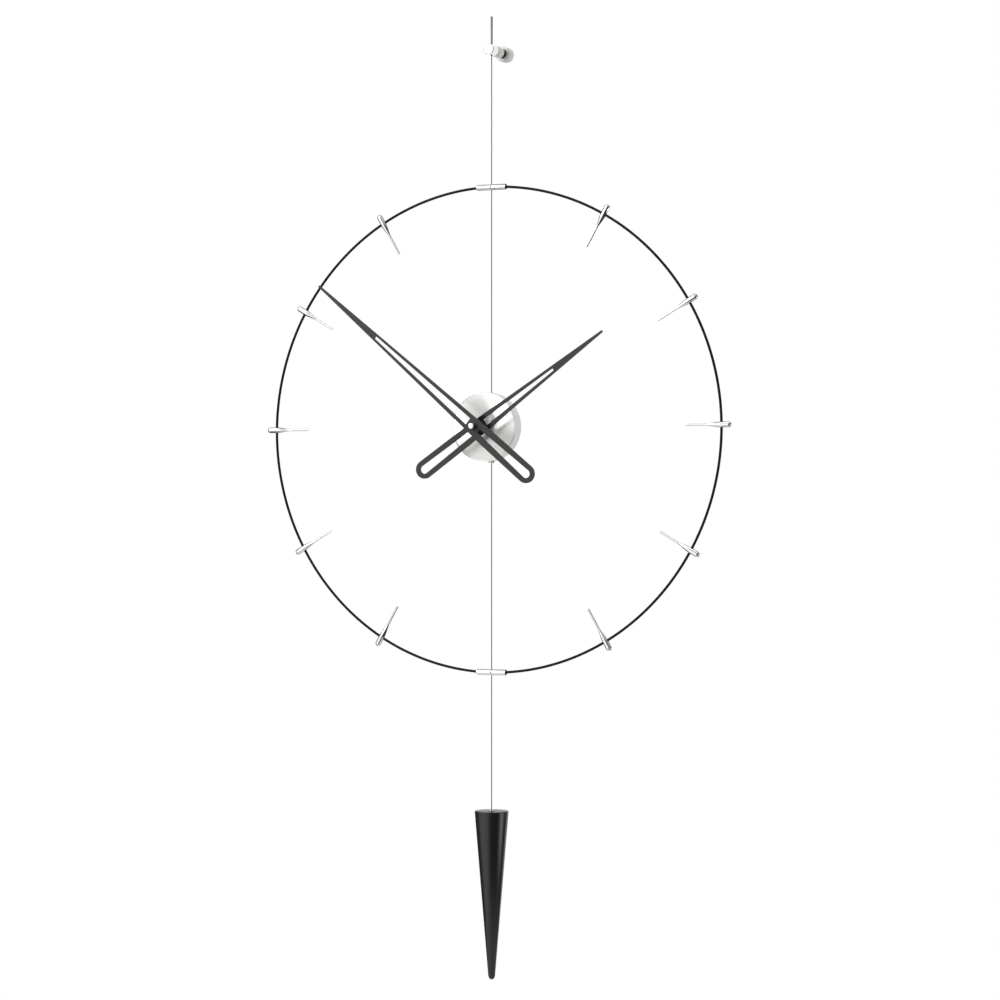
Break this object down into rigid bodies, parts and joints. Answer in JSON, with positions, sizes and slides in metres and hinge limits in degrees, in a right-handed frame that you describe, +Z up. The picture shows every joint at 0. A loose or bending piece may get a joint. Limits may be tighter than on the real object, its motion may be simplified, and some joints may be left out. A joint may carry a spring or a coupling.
{
  "type": "pendulum wall clock",
  "caption": "Wall clock with a ring dial, a round case with two long hands and a plumb weight, all hung on one steel cable from a metal standoff.",
  "frame": {"origin": "centre of the standoff's back face, on the wall plane and at the mouth of its threaded hole", "axes": "+Z up, +X to the right of a person who faces the dial, +Y into the wall (the dial faces -Y)"},
  "size_m": [0.7712, 0.1382, 1.468],
  "materials": {
    "nickel": "polished nickel plate on turned brass",
    "bare_steel": "plain steel",
    "cable_steel": "drawn and stranded steel wire",
    "black_coat": "black coating, satin",
    "spun_steel": "turned with fine circular grooves",
    "shell_steel": "satin steel",
    "black_plastic": "fine-grained moulding",
    "white_plastic": "natural acetal",
    "brass": "turned",
    "copper": "enamelled wire",
    "board_green": "solder mask",
    "battery_jacket": "plain grey film jacket",
    "rubber": "matte",
    "graphite_coat": "dark grey coating, matte",
    "weight_coat": "black satin coating on turned steel"
  },
  "bodies": {
    "wall_mount": {"wall_base": "nickel", "standoff_stud": "black_coat", "standoff_body": "nickel", "standoff_head": "nickel", "head_grub_screw": "bare_steel", "cable_pin": "cable_steel"},
    "hanging_cable": {"cable_upper": "cable_steel"},
    "minute_hand_set": {"minute_arbor": "brass", "minute_hub": "black_coat", "minute_hand": "graphite_coat", "cap_nut": "nickel"},
    "hour_hand_set": {"hour_wheel": "white_plastic", "hour_hub": "black_coat", "hour_hand": "graphite_coat"},
    "setting_wheel": {"minute_wheel": "white_plastic", "setting_knob": "black_plastic"},
    "rotor_body": {"rotor": "bare_steel"},
    "intermediate_body": {"intermediate_wheel": "white_plastic"},
    "seconds_body": {"seconds_wheel": "white_plastic"},
    "third_body": {"third_wheel": "white_plastic"},
    "centre_body": {"centre_wheel": "white_plastic"},
    "battery_body": {"battery": "battery_jacket"},
    "lid_body": {"rear_lid": "black_plastic"},
    "plumb_weight": {"cable_lower": "cable_steel", "weight": "weight_coat", "weight_collar": "nickel"},
    "dial": {"cable_middle": "cable_steel", "ring_rod_left": "black_coat", "ring_rod_right": "black_coat", "top_sleeve": "nickel", "bottom_sleeve": "nickel", "cable_screws": "bare_steel", "hour_marker_1": "nickel", "hour_marker_2": "nickel", "hour_marker_3": "nickel", "hour_marker_4": "nickel", "hour_marker_5": "nickel", "hour_marker_7": "nickel", "hour_marker_8": "nickel", "hour_marker_9": "nickel", "hour_marker_10": "nickel", "hour_marker_11": "nickel", "face_plate": "spun_steel", "front_shell": "shell_steel", "rear_shell": "shell_steel", "cable_collar_top": "nickel", "cable_collar_bottom": "nickel", "movement_case": "black_plastic", "movement_cover": "black_plastic", "movement_gasket": "rubber", "fixing_washer": "brass", "fixing_nut": "brass", "battery_contact_plus": "bare_steel", "battery_contact_minus": "bare_steel", "circuit_board": "board_green", "quartz_crystal": "bare_steel", "coil_bobbin": "white_plastic", "coil_winding": "copper", "stator": "bare_steel"}
  },
  "joints": [
    {"name": "cable_swing", "type": "hinge", "parent": "wall_mount", "child": "hanging_cable", "pos_m": [0, -0.06, -0.0098], "axis": [0, 1, 0], "range_deg": [-8, 8]},
    {"name": "dial_turn", "type": "hinge", "parent": "hanging_cable", "child": "dial", "pos_m": [0, -0.06, -0.2045], "axis": [0, 0, 1], "range_deg": [-8, 8], "stiffness_Nm_per_rad": 0.02},
    {"name": "weight_swing", "type": "hinge", "parent": "dial", "child": "plumb_weight", "pos_m": [0, -0.06, -0.9545], "axis": [0, 1, 0], "range_deg": [-8, 8]},
    {"name": "minute_hand_turn", "type": "hinge", "parent": "dial", "child": "minute_hand_set", "pos_m": [0, -0.08, -0.5755], "axis": [0, 1, 0], "continuous": true},
    {"name": "hour_hand_turn", "type": "hinge", "parent": "dial", "child": "hour_hand_set", "pos_m": [0, -0.08, -0.5755], "axis": [0, 1, 0], "continuous": true},
    {"name": "setting_knob_turn", "type": "hinge", "parent": "dial", "child": "setting_wheel", "pos_m": [0.01195, -0.083, -0.57655], "axis": [0, 1, 0], "continuous": true},
    {"name": "rotor_turn", "type": "hinge", "parent": "dial", "child": "rotor_body", "pos_m": [0.01664, -0.0785, -0.56666], "axis": [0, 1, 0], "continuous": true},
    {"name": "intermediate_turn", "type": "hinge", "parent": "dial", "child": "intermediate_body", "pos_m": [0.01058, -0.0785, -0.56316], "axis": [0, 1, 0], "continuous": true},
    {"name": "seconds_turn", "type": "hinge", "parent": "dial", "child": "seconds_body", "pos_m": [0.00338, -0.0785, -0.56316], "axis": [0, 1, 0], "continuous": true},
    {"name": "third_turn", "type": "hinge", "parent": "dial", "child": "third_body", "pos_m": [-0.0062, -0.0785, -0.56666], "axis": [0, 1, 0], "continuous": true},
    {"name": "centre_turn", "type": "hinge", "parent": "dial", "child": "centre_body", "pos_m": [0, -0.0785, -0.5755], "axis": [0, 1, 0], "continuous": true},
    {"name": "battery_slide", "type": "slide", "parent": "dial", "child": "battery_body", "axis": [0, 1, 0], "range_m": [0, 0.0095]},
    {"name": "lid_slide", "type": "slide", "parent": "dial", "child": "lid_body", "axis": [0, 1, 0], "range_m": [0, 0.045]}
  ],
  "couplings": [
    {"joint": "hour_hand_turn", "follows": "minute_hand_turn", "ratio": 0.083333},
    {"joint": "setting_knob_turn", "follows": "minute_hand_turn", "ratio": -0.33333},
    {"joint": "intermediate_turn", "follows": "rotor_turn", "ratio": -0.16667},
    {"joint": "seconds_turn", "follows": "rotor_turn", "ratio": 0.033333},
    {"joint": "third_turn", "follows": "rotor_turn", "ratio": -0.0044444},
    {"joint": "centre_turn", "follows": "rotor_turn", "ratio": 0.00055556}
  ]
}
